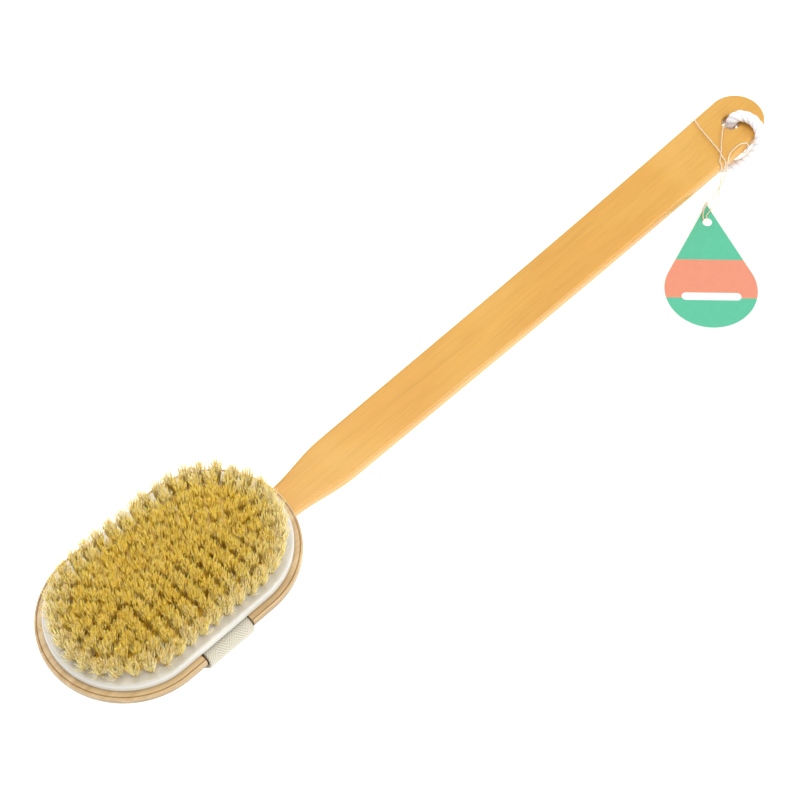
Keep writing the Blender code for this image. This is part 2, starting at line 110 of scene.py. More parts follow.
# ---- camera, floor and light ----
def add_camera():
    elevation, heading = math.radians(56.98), math.radians(44.80)
    distance, lens = 1.100, 123.0
    aim_right, aim_up = 0.09275, 0.07281
    back = Vector((-math.cos(elevation) * math.sin(heading), -math.cos(elevation) * math.cos(heading),
                   math.sin(elevation)))
    right = Vector((math.cos(heading), -math.sin(heading), 0.0))
    up = back.cross(right)
    aim = Vector((HEAD_X, 0.0, HEAD_TOP_Z)) + aim_right * right + aim_up * up
    data = bpy.data.cameras.new("camera")
    data.lens = lens
    data.sensor_width = 36.0
    data.clip_start, data.clip_end = 0.01, 50.0
    camera = bpy.data.objects.new("camera", data)
    bpy.context.scene.collection.objects.link(camera)
    place = aim + distance * back
    camera.matrix_world = Matrix((
        (right.x, up.x, back.x, place.x),
        (right.y, up.y, back.y, place.y),
        (right.z, up.z, back.z, place.z),
        (0.0, 0.0, 0.0, 1.0)))
    bpy.context.scene.camera = camera


def add_area_light(name, place, aim, size, power):
    data = bpy.data.lights.new(name, "AREA")
    data.shape = "SQUARE"
    data.size = size
    data.energy = power
    light = bpy.data.objects.new(name, data)
    bpy.context.scene.collection.objects.link(light)
    light.location = place
    light.rotation_mode = "QUATERNION"
    light.rotation_quaternion = (Vector(aim) - Vector(place)).to_track_quat("-Z", "Y")


def add_floor():
    half = 6.0
    corners = [(-half, -half, 0), (half, -half, 0), (half, half, 0), (-half, half, 0)]
    mesh = bpy.data.meshes.new("floor")
    mesh.from_pydata(corners, [], [(0, 1, 2, 3)])
    floor = bpy.data.objects.new("floor", mesh)
    bpy.context.scene.collection.objects.link(floor)
    material, _, shader = new_material("floor_paper", 0.95)
    shader.inputs["Base Color"].default_value = srgb(248, 248, 248)
    shader.inputs["Emission Color"].default_value = (1.0, 1.0, 1.0, 1.0)
    shader.inputs["Emission Strength"].default_value = 0.62
    shader.inputs["Specular IOR Level"].default_value = 0.0
    mesh.materials.append(material)


def add_studio():
    scene = bpy.context.scene
    scene.view_settings.view_transform = "Standard"
    world = bpy.data.worlds.new("studio")
    world.use_nodes = True
    background = world.node_tree.nodes["Background"]
    background.inputs["Color"].default_value = (1.0, 1.0, 1.0, 1.0)
    background.inputs["Strength"].default_value = 0.70
    scene.world = world
    add_area_light("overhead", (-0.05, 0.35, 1.70), (0.0, 0.0, 0.0), 1.1, 17.5)
    add_area_light("front", (0.50, -1.30, 1.05), (0.02, 0.0, 0.0), 0.9, 12.5)
    add_floor()


# ---- material helpers ----
def srgb(red, green, blue):
    """Linear colour of a screen colour given from 0 to 255."""
    shares = [channel / 255 for channel in (red, green, blue)]
    linear = [share / 12.92 if share <= 0.04045 else ((share + 0.055) / 1.055) ** 2.4 for share in shares]
    return (*linear, 1.0)


def grey(value):
    return (value, value, value, 1.0)


def new_material(name, roughness):
    material = bpy.data.materials.new(name)
    material.use_nodes = True
    shader = material.node_tree.nodes["Principled BSDF"]
    shader.inputs["Roughness"].default_value = roughness
    return material, material.node_tree, shader


def node(tree, kind, inputs=None, **settings):
    made = tree.nodes.new("ShaderNode" + kind)
    for key, value in settings.items():
        setattr(made, key, value)
    for key, value in (inputs or {}).items():
        if isinstance(value, bpy.types.NodeSocket):
            tree.links.new(value, made.inputs[key])
        else:
            made.inputs[key].default_value = value
    return made


def math_node(tree, operation, a, b=0.0, clamp=False):
    return node(tree, "Math", {0: a, 1: b}, operation=operation, use_clamp=clamp).outputs[0]


def hypotenuse(tree, a, b):
    """Length of the long side of a right triangle with sides a and b."""
    squares = math_node(tree, "ADD", math_node(tree, "MULTIPLY", a, a), math_node(tree, "MULTIPLY", b, b))
    return math_node(tree, "SQRT", squares)


def mix(tree, factor, a, b, blend="MIX"):
    """Colour mix of two colours or sockets."""
    return node(tree, "Mix", {0: factor, 6: a, 7: b}, data_type="RGBA", blend_type=blend).outputs[2]


def ramp(tree, factor, *stops):
    """Colour ramp through (position, colour) stops."""
    made = node(tree, "ValToRGB", {0: factor})
    elements = made.color_ramp.elements
    while len(elements) < len(stops):
        elements.new(0.5)
    for element, (position, colour) in zip(elements, stops):
        element.position = position
        element.color = colour
    return made.outputs[0]


def darken(tree, colour, amount, pattern, dark, low, high):
    """Multiply a colour towards the grey level dark where the pattern is below low; nothing above high."""
    shade = ramp(tree, pattern, (low, grey(dark)), (high, grey(1.0)))
    return mix(tree, amount, colour, shade, "MULTIPLY")


def object_coordinates(tree):
    return node(tree, "TexCoord").outputs["Object"]


def object_noise(tree, scale, detail=3.0, offset=(0.0, 0.0, 0.0), distortion=0.0):
    """Noise with its own scale along each axis of the object."""
    mapping = node(tree, "Mapping", {"Vector": object_coordinates(tree), "Scale": scale, "Location": offset})
    return node(tree, "TexNoise", {"Vector": mapping.outputs[0], "Scale": 1.0, "Detail": detail,
                                   "Distortion": distortion}).outputs["Fac"]


def even_noise(tree, scale, detail):
    return object_noise(tree, (scale, scale, scale), detail)


def attribute(tree, name):
    return node(tree, "Attribute", attribute_name=name).outputs["Fac"]


def set_base_color(tree, shader, colour):
    tree.links.new(colour, shader.inputs["Base Color"])


def vary_roughness(tree, shader, pattern, spread, low):
    """Roughness that goes up from low by spread, following a pattern."""
    rough = math_node(tree, "ADD", math_node(tree, "MULTIPLY", pattern, spread), low)
    tree.links.new(rough, shader.inputs["Roughness"])


def bump(tree, shader, height, strength, distance):
    made = node(tree, "Bump", {"Height": height, "Strength": strength, "Distance": distance})
    tree.links.new(made.outputs[0], shader.inputs["Normal"])


def head_reach(tree):
    """Distance out from the middle line of the oval head, and height."""
    place = node(tree, "SeparateXYZ", {0: object_coordinates(tree)}).outputs
    along = math_node(tree, "ABSOLUTE", math_node(tree, "SUBTRACT", place[0], HEAD_X))
    past_straight = math_node(tree, "MAXIMUM", math_node(tree, "SUBTRACT", along, HALF_STRAIGHT), 0.0)
    return hypotenuse(tree, past_straight, place[1]), place[2]


# ---- materials ----
def honey_wood():
    material, tree, shader = new_material("honey_wood_varnish", 0.36)
    blotch = object_noise(tree, (17.0, 30.0, 30.0), 2.0, (3.1, 1.7, 0.0), 0.6)
    streak = object_noise(tree, (9.0, 210.0, 210.0), 4.0, (0.0, 5.0, 0.0), 0.2)
    fine = object_noise(tree, (45.0, 1500.0, 1500.0), 3.0, (2.0, 0.0, 0.0))
    colour = ramp(tree, blotch, (0.30, srgb(204, 149, 61)), (0.48, srgb(206, 154, 66)),
                  (0.66, srgb(209, 159, 75)))
    colour = darken(tree, colour, 0.35, streak, 0.84, 0.30, 0.62)
    colour = darken(tree, colour, 0.35, fine, 0.78, 0.34, 0.52)
    set_base_color(tree, shader, colour)
    shader.inputs["Coat Weight"].default_value = 0.25
    shader.inputs["Coat Roughness"].default_value = 0.16
    vary_roughness(tree, shader, fine, 0.12, 0.30)
    bump(tree, shader, fine, 0.12, 0.0002)
    return material


def tan_wood():
    """Sealed wood with painted shade: a dark line in the groove round the top, and sides darkened with depth
    below the top.
    """
    material, tree, shader = new_material("tan_wood_sealed", 0.42)
    streak = object_noise(tree, (14.0, 260.0, 420.0), 4.0, (1.0, 2.0, 0.0), 0.3)
    fine = object_noise(tree, (60.0, 1700.0, 1700.0), 3.0)
    colour = ramp(tree, streak, (0.32, srgb(184, 151, 102)), (0.50, srgb(199, 168, 118)),
                  (0.68, srgb(211, 183, 136)))
    colour = darken(tree, colour, 0.4, fine, 0.72, 0.32, 0.55)

    reach, height = head_reach(tree)
    # Painted shadow: a dark brown line mixed in along the groove round the top of the wood.
    from_groove = math_node(tree, "ABSOLUTE", math_node(tree, "SUBTRACT", reach, HEAD_RADIUS - GROOVE_INSET))
    from_groove_mm = math_node(tree, "MULTIPLY", from_groove, 1000.0)
    painted_groove_shadow = ramp(tree, from_groove_mm, (0.12, grey(1.0)), (0.42, grey(0.0)))
    near_top = math_node(tree, "GREATER_THAN", height, HEAD_TOP_Z - 0.0008)
    painted_groove_shadow = math_node(tree, "MULTIPLY", painted_groove_shadow, math_node(tree, "MULTIPLY", near_top, 0.5))
    colour = mix(tree, painted_groove_shadow, colour, srgb(120, 74, 44))

    # Painted shade: the sides of the wood darken with depth below the top.
    below_top = math_node(tree, "SUBTRACT", HEAD_TOP_Z, height)
    side_depth = math_node(tree, "MULTIPLY", below_top, 200.0)
    painted_side_shade = ramp(tree, side_depth, (0.04, grey(1.0)), (0.40, grey(0.58)))
    set_base_color(tree, shader, mix(tree, 1.0, colour, painted_side_shade, "MULTIPLY"))
    shader.inputs["Coat Weight"].default_value = 0.20
    shader.inputs["Coat Roughness"].default_value = 0.25
    bump(tree, shader, fine, 0.15, 0.0002)
    return material


def white_plastic():
    """Glossy white with painted yellow bounce light from the bristles between the tufts."""
    material, tree, shader = new_material("white_plastic_moulded", 0.20)
    soft = even_noise(tree, 40.0, 2.0)
    colour = ramp(tree, soft, (0.35, srgb(204, 202, 194)), (0.65, srgb(212, 210, 202)))
    # Painted bounce light: yellow mixed in inside the line of the outer tuft roots.
    reach, _ = head_reach(tree)
    inside = math_node(tree, "SUBTRACT", PLATE_RADIUS - TUFT_EDGE_MARGIN, reach)
    painted_bounce_light = math_node(tree, "DIVIDE", inside, 0.003, clamp=True)
    set_base_color(tree, shader, mix(tree, painted_bounce_light, colour, srgb(250, 206, 70)))
    vary_roughness(tree, shader, soft, 0.10, 0.14)
    shader.inputs["Subsurface Weight"].default_value = 0.15
    shader.inputs["Subsurface Radius"].default_value = (0.0012, 0.0012, 0.0012)
    bump(tree, shader, even_noise(tree, 700.0, 2.0), 0.04, 0.0002)
    return material


def bristle_fibre():
    """Yellow fibre with painted shade, darker at its root and paler at its tip; each one has its own shade.
    """
    material, tree, shader = new_material("bristle_fibre", 0.48)
    height = attribute(tree, "height")
    shade = attribute(tree, "shade")
    # Painted shade: the colour along each bristle is darkest at the root, in the shade of the tuft.
    along = ramp(tree, height, (0.00, srgb(232, 182, 34)), (0.15, srgb(252, 206, 42)),
                 (0.55, srgb(255, 222, 64)), (0.85, srgb(250, 218, 92)), (1.00, srgb(245, 216, 126)))
    tone = ramp(tree, shade, (0.0, srgb(242, 194, 40)), (0.35, srgb(252, 216, 60)),
                (0.65, srgb(253, 226, 104)), (1.0, srgb(254, 234, 182)))
    tone_share = ramp(tree, shade, (0.2, grey(0.5)), (1.0, grey(0.85)))
    # Painted shade: the lowest part of each bristle is mixed towards a dark yellow.
    root_shade_share = ramp(tree, height, (0.0, grey(0.7)), (0.14, grey(0.0)))
    colour = mix(tree, tone_share, along, tone)
    set_base_color(tree, shader, mix(tree, root_shade_share, colour, srgb(176, 136, 36)))
    shader.inputs["Sheen Weight"].default_value = 0.10
    shader.inputs["Subsurface Weight"].default_value = 1.0
    shader.inputs["Subsurface Radius"].default_value = (0.0010, 0.0009, 0.0005)
    return material


def cotton_webbing():
    material, tree, shader = new_material("cotton_webbing_weave", 0.88)
    fibre = even_noise(tree, 1400.0, 3.0)
    # Painted shade: the webbing is darker where its twill relief is low.
    colour = ramp(tree, attribute(tree, "depth"), (0.0, srgb(160, 150, 122)), (0.45, srgb(196, 190, 172)),
                  (1.0, srgb(214, 210, 196)))
    set_base_color(tree, shader, darken(tree, colour, 0.5, fibre, 0.86, 0.3, 0.6))
    shader.inputs["Sheen Weight"].default_value = 0.25
    bump(tree, shader, fibre, 0.30, 0.0002)
    return material


def cotton_rope():
    material, tree, shader = new_material("cotton_rope_twist", 0.90)
    fibre = even_noise(tree, 1100.0, 4.0)
    # Painted shade: the rope is darker in the grooves between its strands.
    colour = ramp(tree, attribute(tree, "depth"), (0.0, srgb(206, 204, 214)), (0.4, srgb(232, 232, 238)),
                  (1.0, srgb(242, 242, 244)))
    set_base_color(tree, shader, darken(tree, colour, 0.5, fibre, 0.88, 0.3, 0.6))
    shader.inputs["Sheen Weight"].default_value = 0.35
    bump(tree, shader, fibre, 0.35, 0.0002)
    return material


def clear_nylon():
    material, tree, shader = new_material("clear_nylon_thread", 0.35)
    tone = even_noise(tree, 900.0, 2.0)
    set_base_color(tree, shader, ramp(tree, tone, (0.3, srgb(244, 226, 194)), (0.7, srgb(252, 242, 222))))
    shader.inputs["Transmission Weight"].default_value = 0.45
    return material


def plain_steel():
    material, tree, shader = new_material("plain_steel_wire", 0.35)
    scratches = object_noise(tree, (500.0, 500.0, 2500.0), 3.0)
    set_base_color(tree, shader, ramp(tree, scratches, (0.3, grey(0.42)), (0.7, grey(0.62))))
    vary_roughness(tree, shader, scratches, 0.25, 0.22)
    shader.inputs["Metallic"].default_value = 1.0
    return material


def tag_coordinates(tree):
    """Distance along the tag from its tip, and distance from its middle line."""
    from_tip = node(tree, "VectorMath", {0: object_coordinates(tree), 1: (TAG_TIP.x, TAG_TIP.y, 0.0)},
                    operation="SUBTRACT").outputs[0]
    made = []
    for direction in ((TAG_AHEAD.x, TAG_AHEAD.y, 0.0), (-TAG_AHEAD.y, TAG_AHEAD.x, 0.0)):
        dot = node(tree, "VectorMath", {0: from_tip, 1: direction}, operation="DOT_PRODUCT")
        made.append(dot.outputs["Value"])
    return made[0], math_node(tree, "ABSOLUTE", made[1])


def tag_edge_distance(tree, along, across):
    """Distance in from the outline of the tag, which is a circle and its two tangents from the tip."""
    centre = TAG_LENGTH - TAG_RADIUS
    half_angle = math.asin(TAG_RADIUS / centre)
    sine, cosine = math.sin(half_angle), math.cos(half_angle)
    from_centre = math_node(tree, "SUBTRACT", along, centre)
    to_round = math_node(tree, "SUBTRACT", TAG_RADIUS, hypotenuse(tree, from_centre, across))
    to_side = math_node(tree, "SUBTRACT", math_node(tree, "MULTIPLY", along, sine),
                        math_node(tree, "MULTIPLY", across, cosine))
    down_side = math_node(tree, "ADD", math_node(tree, "MULTIPLY", along, cosine),
                          math_node(tree, "MULTIPLY", across, sine))
    on_side = math_node(tree, "LESS_THAN", down_side, centre * cosine)
    on_round = math_node(tree, "SUBTRACT", 1.0, on_side)
    return math_node(tree, "ADD", math_node(tree, "MULTIPLY", on_side, to_side),
                     math_node(tree, "MULTIPLY", on_round, to_round))


def printed_card():
    """Plain colour bands across the drop, a white border and a blank white label."""
    band_start, band_end = 0.0328, 0.0536
    label_along, label_half_length, label_radius = 0.0528, 0.0112, 0.0020
    border_width, hole_rim_radius = 0.0009, 0.0021
    white = srgb(226, 228, 224)

    material, tree, shader = new_material("printed_card_bands", 0.38)
    along, across = tag_coordinates(tree)
    mottle = even_noise(tree, 420.0, 2.0)
    green = mix(tree, mottle, srgb(74, 172, 136), srgb(84, 180, 146))
    coral = mix(tree, mottle, srgb(208, 128, 100), srgb(214, 136, 108))
    band = math_node(tree, "MULTIPLY", math_node(tree, "GREATER_THAN", along, band_start),
                     math_node(tree, "LESS_THAN", along, band_end))
    colour = mix(tree, band, green, coral)

    past_end = math_node(tree, "MAXIMUM", math_node(tree, "SUBTRACT", across, label_half_length), 0.0)
    from_label = hypotenuse(tree, past_end, math_node(tree, "SUBTRACT", along, label_along))
    from_hole = hypotenuse(tree, math_node(tree, "SUBTRACT", along, TAG_HOLE_TO_TIP), across)
    edge = tag_edge_distance(tree, along, across)
    for distance, limit in ((from_label, label_radius), (edge, border_width), (from_hole, hole_rim_radius)):
        colour = mix(tree, math_node(tree, "LESS_THAN", distance, limit), colour, white)
    set_base_color(tree, shader, colour)
    bump(tree, shader, even_noise(tree, 900.0, 2.0), 0.05, 0.0001)
    return material


# ---- shape helpers ----
def stadium(radius, arc_steps):
    """Outline of the head's oval at a given end radius, anticlockwise."""
    points = []
    for end, sign in ((0, 1), (1, -1)):
        centre_x = HEAD_X + sign * HALF_STRAIGHT
        for step in range(arc_steps):
            angle = math.pi * (end + step / arc_steps - 0.5)
            points.append((centre_x + radius * math.cos(angle), radius * math.sin(angle)))
        points.append((centre_x, sign * radius))
    return points


def skin(bm, loops):
    """Join each closed loop of vertices to the next one with quads."""
    count = len(loops[0])
    for low, high in zip(loops, loops[1:]):
        for i in range(count):
            j = (i + 1) % count
            bm.faces.new((low[i], low[j], high[j], high[i]))


def loft(bm, rings):
    """Skin a list of closed rings of points of equal length and cap both ends."""
    loops = [[bm.verts.new(point) for point in ring] for ring in rings]
    skin(bm, loops)
    bm.faces.new(reversed(loops[0]))
    bm.faces.new(loops[-1])


def loft_stadium(bm, radius, section):
    """Body with the head's oval plan and an edge through (inset, z) pairs, bottom to top."""
    loft(bm, [[(x, y, z) for x, y in stadium(radius - inset, 56)] for inset, z in section])


def add_turned(bm, centre, profile, steps):
    """Turn (radius, z) pairs, bottom to top, around a vertical axis through centre."""
    x, y = centre
    angles = [2 * math.pi * i / steps for i in range(steps)]
    loft(bm, [[(x + radius * math.cos(angle), y + radius * math.sin(angle), z) for angle in angles]
              for radius, z in profile])


def add_box(bm, low, high):
    loft(bm, [[(low[0], low[1], z), (high[0], low[1], z), (high[0], high[1], z), (low[0], high[1], z)]
              for z in (low[2], high[2])])


def object_from(name, data, material=None):
    obj = bpy.data.objects.new(name, data)
    bpy.context.scene.collection.objects.link(obj)
    if material:
        data.materials.append(material)
    return obj


def mesh_from(name, bm):
    bmesh.ops.recalc_face_normals(bm, faces=bm.faces)
    mesh = bpy.data.meshes.new(name)
    bm.to_mesh(mesh)
    bm.free()
    return mesh


def carve(obj, bm):
    """Subtract the closed bodies in bm from obj's mesh for good."""
    cutter = object_from("cutter", mesh_from("cutter", bm))
    boolean = obj.modifiers.new("carve", "BOOLEAN")
    boolean.operation, boolean.solver, boolean.object = "DIFFERENCE", "EXACT", cutter
    depsgraph = bpy.context.evaluated_depsgraph_get()
    mesh = bpy.data.meshes.new_from_object(obj.evaluated_get(depsgraph), depsgraph=depsgraph)
    obj.modifiers.clear()
    obj.data = mesh
    bpy.data.objects.remove(cutter)


def smooth(obj, degrees):
    obj.data.shade_smooth()
    obj.data.set_sharp_from_angle(angle=math.radians(degrees))


def set_attribute(mesh, name, values):
    layer = mesh.attributes.new(name, "FLOAT", "POINT")
    layer.data.foreach_set("value", np.asarray(values, np.float32).ravel())


def smooth_path(knots, spacing):
    """Points about spacing apart on a Catmull-Rom curve through knots."""
    knots = [Vector(knot) for knot in knots]
    ends = [2 * knots[0] - knots[1]] + knots + [2 * knots[-1] - knots[-2]]
    points = [knots[0]]
    for a, b, c, d in zip(ends, ends[1:], ends[2:], ends[3:]):
        steps = max(1, round((c - b).length / spacing))
        for step in range(1, steps + 1):
            t = step / steps
            points.append(0.5 * (2 * b + (c - a) * t + (2 * a - 5 * b + 4 * c - d) * t ** 2
                                 + (3 * b - a - 3 * c + d) * t ** 3))
    return points


def path_length(points):
    return sum((b - a).length for a, b in zip(points, points[1:]))


def path_direction(path, i):
    """Vector along a path at its point i, from the point before to the point after."""
    return path[min(i + 1, len(path) - 1)] - path[max(i - 1, 0)]


def path_frames(path):
    """Each point of a path, the distance along it, and two unit vectors square to it and to each other."""
    side = None
    distance = 0.0
    for i, point in enumerate(path):
        ahead = path_direction(path, i).normalized()
        if side is None:
            side = ahead.orthogonal().normalized()
        side = (side - ahead * side.dot(ahead)).normalized()
        if i:
            distance += (point - path[i - 1]).length
        yield point, distance, side, ahead.cross(side)


def settle(obj, body, cad_node):
    """Put a finished piece on its body, in place of a CAD node."""
    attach(obj, body)
    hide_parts(cad_node)


# ---- head ----
def nail_places():
    return [(HEAD_X + sx * HALF_STRAIGHT, sy * NAIL_Y) for sx in (-1, 1) for sy in (-1, 1)]


def tack_places():
    return [(STRAP_X + sx * TACK_SPACING / 2, sy * TACK_Y) for sx in (-1, 1) for sy in (-1, 1)]


def head_section():
    """(inset, z) from the top of the wood, over the groove and down the bowl to its underside."""
    rim = [(0.0026, 0.0), (0.00140, 0.0), (0.00125, 0.00008), (GROOVE_INSET, 0.00036), (0.00095, 0.00010),
           (0.00075, 0.00008), (0.00045, 0.00022), (0.00022, 0.00045), (0.00006, 0.00085), (0.0, 0.0014),
           (0.0, 0.0024)]
    section = [(inset, HEAD_TOP_Z - depth) for inset, depth in rim]
    bowl_top = HEAD_TOP_Z - 0.0032
    slope, curve = 0.45, 35.0
    steps = 28
    for step in range(steps + 1):
        depth = (bowl_top - head_low.z) * step / steps
        section.append((slope * depth + curve * depth ** 2, bowl_top - depth))
    under = section.pop()[0]
    return section + [(under - 0.0002, head_low.z + 0.0002), (under + 0.0006, head_low.z),
                      (under + 0.0016, head_low.z)]


def add_head(material):
    bm = bmesh.new()
    loft_stadium(bm, HEAD_RADIUS, reversed(head_section()))
    head = object_from("wooden_head", mesh_from("wooden_head", bm), material)

    socket = bmesh.new()
    half = NECK_HALF_WIDTH + GAP
    past_end_x = HEAD_X + 0.08
    add_box(socket, (TONGUE_START_X - GAP, -half, HANDLE_BOTTOM_Z - GAP),
            (past_end_x, half, HANDLE_TOP_Z + GAP))
    carve(head, socket)
    for inner_y, floor_z in ((REBATE_INNER_Y, HEAD_TOP_Z - REBATE_DEPTH), (NOTCH_INNER_Y, NOTCH_Z)):
        pockets = bmesh.new()
        for sign in (-1, 1):
            low_y, high_y = sorted((sign * inner_y, sign * (HEAD_RADIUS + CUT)))
            add_box(pockets, (NOTCH_X - NOTCH_WIDTH / 2, low_y, floor_z),
                    (NOTCH_X + NOTCH_WIDTH / 2, high_y, HEAD_TOP_Z + CUT))
        carve(head, pockets)
    holes = bmesh.new()
    nail_radius, nail_floor_z = 0.0011, 0.0143
    tack_radius, tack_floor_z = 0.0010, 0.01465
    for place in nail_places():
        add_turned(holes, place, ((nail_radius, nail_floor_z), (nail_radius, HEAD_TOP_Z + CUT)), 12)
    for place in tack_places():
        add_turned(holes, place, ((tack_radius, tack_floor_z), (tack_radius, HEAD_TOP_Z - 0.0014)), 12)
    carve(head, holes)
    smooth(head, 28)
    settle(head, "head", "head_base")
    return head


def add_plate(material):
    edge = 0.0014
    foot = 0.0003
    section = [(0.0020, plate_low.z), (foot, plate_low.z), (0.0, plate_low.z + foot)]
    steps = 8
    for step in range(steps + 1):
        angle = math.pi / 2 * step / steps
        section.append((edge * (1 - math.cos(angle)), PLATE_TOP_Z - edge * (1 - math.sin(angle))))
    section.append((edge + 0.0006, PLATE_TOP_Z))
    bm = bmesh.new()
    loft_stadium(bm, PLATE_RADIUS, section)
    plate = object_from("white_plate", mesh_from("white_plate", bm), material)

    holes = bmesh.new()
    shank_radius, seat_radius, seat_depth = 0.0011, 0.0019, 0.0014
    seat_z = PLATE_TOP_Z - seat_depth
    profile = ((shank_radius, plate_low.z - CUT), (shank_radius, seat_z), (seat_radius, seat_z),
               (seat_radius, PLATE_TOP_Z + CUT))
    for place in nail_places():
        add_turned(holes, place, profile, 16)
    carve(plate, holes)
    smooth(plate, 30)
    settle(plate, "head", "bristle_plate")


def tuft_places(ring):
    """(x, y) of each tuft in a ring and the outward direction there."""
    radius = PLATE_RADIUS - TUFT_EDGE_MARGIN - ring * TUFT_RING_STEP
    half_straight = HALF_STRAIGHT - (TUFT_END_MARGIN - TUFT_EDGE_MARGIN)
    arc, straight = math.pi * radius, 2 * half_straight
    length = 2 * (arc + straight)
    count = round(length / TUFT_SPACING)
    places, outward = [], []
    for i in range(count):
        distance = (i + 0.25) * length / count
        end = 1
        if distance >= straight + arc:
            distance -= straight + arc
            end = -1
        if distance < straight:
            places.append((HEAD_X + end * (distance - half_straight), -end * radius))
            outward.append((0.0, -end))
        else:
            angle = (distance - straight) / radius - math.pi / 2
            along = half_straight + radius * math.cos(angle)
            places.append((HEAD_X + end * along, end * radius * math.sin(angle)))
            outward.append((end * math.cos(angle), end * math.sin(angle)))
    return np.array(places), np.array(outward)


def tube_faces(count, sides, segments):
    """Quads round a number of thin three-sided tubes, and the triangles that close their ends."""
    one = []
    for low in range(0, segments * sides, sides):
        for k in range(sides):
            n = (k + 1) % sides
            one.append((low + k, low + n, low + sides + n, low + sides + k))
    first = np.arange(count)[:, None] * (segments + 1) * sides
    quads = (first[:, :, None] + np.array(one)).reshape(-1, 4)
    caps = np.concatenate((first + np.array((2, 1, 0)), first + segments * sides + np.array((0, 1, 2))))
    return quads.tolist() + caps.tolist()


def tuft_shadow_discs(places, first):
    """A dark disc of painted shadow on the plate, where each tuft grows out of its hole; first is the number
    of its first point.
    """
    sides, radius = 12, 0.00125
    corners = 2 * math.pi * np.arange(sides) / sides
    rim = np.stack((np.cos(corners), np.sin(corners)), -1) * radius
    points, faces = [], []
    for x, y in places:
        start = first + len(points)
        for z in (PLATE_TOP_Z - 0.0003, PLATE_TOP_Z + 0.00006):
            points += [(x + dx, y + dy, z) for dx, dy in rim]
        lower = [start + k for k in range(sides)]
        upper = [start + sides + k for k in range(sides)]
        faces += [tuple(reversed(lower)), tuple(upper)]
        faces += [(lower[k], lower[(k + 1) % sides], upper[(k + 1) % sides], upper[k]) for k in range(sides)]
    return points, faces


def bristle_points(rng, ring, per_tuft, sides, t):
    """Points of the bristles of one ring, and the tone of each of its tufts.

    A bristle is a thin tube, with a loop of points at each share t of its height.
    """
    places, outward = tuft_places(ring)
    tufts = len(places)
    outer = ring == 0
    root_radius, fan, curl = (0.00090, 0.00250, 0.8) if outer else (0.00135, 0.00180, 1.1)
    lean = 0.0003 * (1 - ring / TUFT_RING_COUNT) ** 2
    # Use has bent the bristles a little to one side, and those of the outer ring there most of all.
    bent = np.array((-0.0004, -0.0004))
    worn_side = np.clip(outward @ bent / np.linalg.norm(bent), 0.0, 1.0)[:, None, None]
    sway = rng.normal(0.0, 0.00035, (tufts, 2))
    tuft_tone = rng.uniform(-0.12, 0.12, tufts)

    spin = rng.uniform(0.0, 2 * math.pi, (tufts, per_tuft))
    share = np.sqrt(rng.uniform(0.0, 1.0, (tufts, per_tuft)))
    spoke = np.stack((np.cos(spin), np.sin(spin)), -1) * share[..., None]
    root = places[:, None] + spoke * root_radius
    loose = rng.random((tufts, per_tuft, 1)) < (0.14 if outer else 0.06)
    scatter = rng.normal(0.0, 0.00030, (tufts, per_tuft, 2)) * np.where(loose, 3.2, 1.0)
    splay = rng.exponential(1.0, (tufts, per_tuft, 1)) * (0.0002 + (0.0012 * worn_side if outer else 0.0))
    reach = spoke * fan + (outward * lean + sway + bent)[:, None] + outward[:, None] * splay + scatter
    bow = rng.normal(0.0, 0.00022, (tufts, per_tuft, 2))
    trim = rng.uniform(0.0, 0.0011, (tufts, per_tuft))
    droop = np.where(loose[..., 0], rng.uniform(0.0, 0.0012, (tufts, per_tuft)), 0.0)
    height = tuft_top - PLATE_TOP_Z - trim - droop - 0.35 * np.minimum(splay[..., 0], 0.006)
    thick = rng.uniform(0.00012, 0.00019, (tufts, per_tuft))

    flat = (root[:, :, None] + reach[:, :, None] * (t ** curl)[:, None]
            + bow[:, :, None] * np.sin(math.pi * t)[:, None])
    sunk = 0.0002
    z = PLATE_TOP_Z - sunk + (height[..., None] + sunk) * t
    around = 2 * math.pi * np.arange(sides) / sides + spin[..., None, None]
    radius = (thick[..., None] * (1.0 - 0.55 * t))[..., None]
    x, y = flat[..., 0, None] + radius * np.cos(around), flat[..., 1, None] + radius * np.sin(around)
    points = np.stack((x, y, np.broadcast_to(z[..., None], x.shape)), -1).reshape(-1, 3)
    return points, tuft_tone


def add_bristles(ring, material):
    """One oval ring of tufts, each a fan of single bristles rooted over a dark disc of painted hole shadow.
    """
    rng = np.random.default_rng(40 + ring)
    per_tuft, sides, segments = 130, 3, 4
    places, _ = tuft_places(ring)
    bristles = len(places) * per_tuft
    t = np.linspace(0.0, 1.0, segments + 1)
    points, tuft_tone = bristle_points(rng, ring, per_tuft, sides, t)
    # Dark discs of painted hole shadow under the tufts.
    shadow_disc_points, shadow_disc_faces = tuft_shadow_discs(places, len(points))
    name = "bristle_ring_%d" % (ring + 1)
    mesh = bpy.data.meshes.new(name)
    mesh.from_pydata(points.tolist() + shadow_disc_points, [], tube_faces(bristles, sides, segments) + shadow_disc_faces)
    mesh.shade_smooth()

    pale = (0.58, 0.30, 0.12)[ring] if ring < 3 else 0.02
    shade = np.clip(rng.normal(0.42, 0.22, (len(places), per_tuft)) + tuft_tone[:, None] + pale, 0.0, 1.0)
    # The painted shadow discs get height 0 and shade 0, so they take the darkest root colour.
    shadow_disc_values = np.zeros(len(shadow_disc_points))
    heights = np.tile(np.repeat(t, sides), bristles)
    shades = np.repeat(shade.ravel(), (segments + 1) * sides)
    set_attribute(mesh, "height", np.concatenate((heights, shadow_disc_values)))
    set_attribute(mesh, "shade", np.concatenate((shades, shadow_disc_values)))
    obj = object_from(name, mesh, material)
    settle(obj, "head", "tuft_ring_%d" % (ring + 1))


